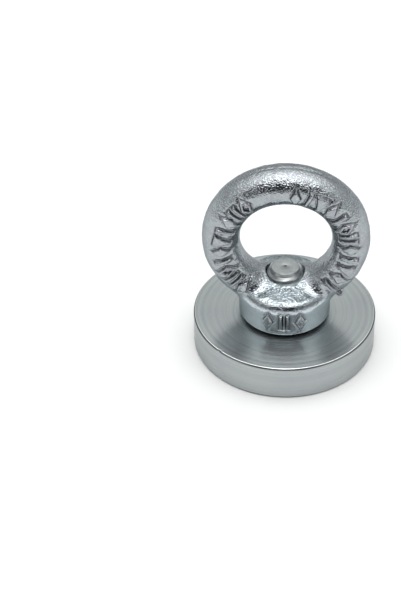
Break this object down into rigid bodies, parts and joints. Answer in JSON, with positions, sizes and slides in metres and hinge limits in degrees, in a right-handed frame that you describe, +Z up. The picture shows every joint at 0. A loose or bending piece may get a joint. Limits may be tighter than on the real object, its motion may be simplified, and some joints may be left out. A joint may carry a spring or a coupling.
{
  "type": "magnet fishing magnet",
  "caption": "Pot magnet for magnet fishing: a steel cup bonded round a ring magnet, with a countersunk screw through it and a forged eye nut for the rope on its back.",
  "frame": {"origin": "centre of the pot's working face, on the surface that the magnet stands on", "axes": "+Z up the screw's axis, from the working face to the top of the eye; +X across the eye's ring; +Y along the rope's way through the eye"},
  "size_m": [0.04, 0.04, 0.0461],
  "materials": {
    "turned_steel": "steel pot, faced on a lathe and zinc plated",
    "nickel": "bright nickel plate on the ring magnet",
    "resin": "cured black epoxy",
    "zinc_screw": "zinc-plated machine screw",
    "spring_steel": "phosphated spring steel",
    "zinc_forging": "bright zinc plate over a shot-blasted forging"
  },
  "bodies": {
    "magnet": {"pot": "turned_steel", "ring_magnet": "nickel", "bond_film": "resin", "outer_resin_ring": "resin", "inner_resin_ring": "resin", "countersunk_screw": "zinc_screw"},
    "washer": {"lock_washer": "spring_steel"},
    "eye": {"eye_nut": "zinc_forging"}
  },
  "joints": [
    {"name": "eye_nut_turn", "type": "hinge", "parent": "magnet", "child": "washer", "pos_m": [0, 0, 0.008], "axis": [0, 0, 1], "range_deg": [0, 3150]},
    {"name": "eye_nut_lift", "type": "slide", "parent": "washer", "child": "eye", "axis": [0, 0, 1], "range_m": [0, 0.011]}
  ],
  "couplings": [
    {"joint": "eye_nut_lift", "follows": "eye_nut_turn", "m_per_rad": 0.00019894}
  ]
}
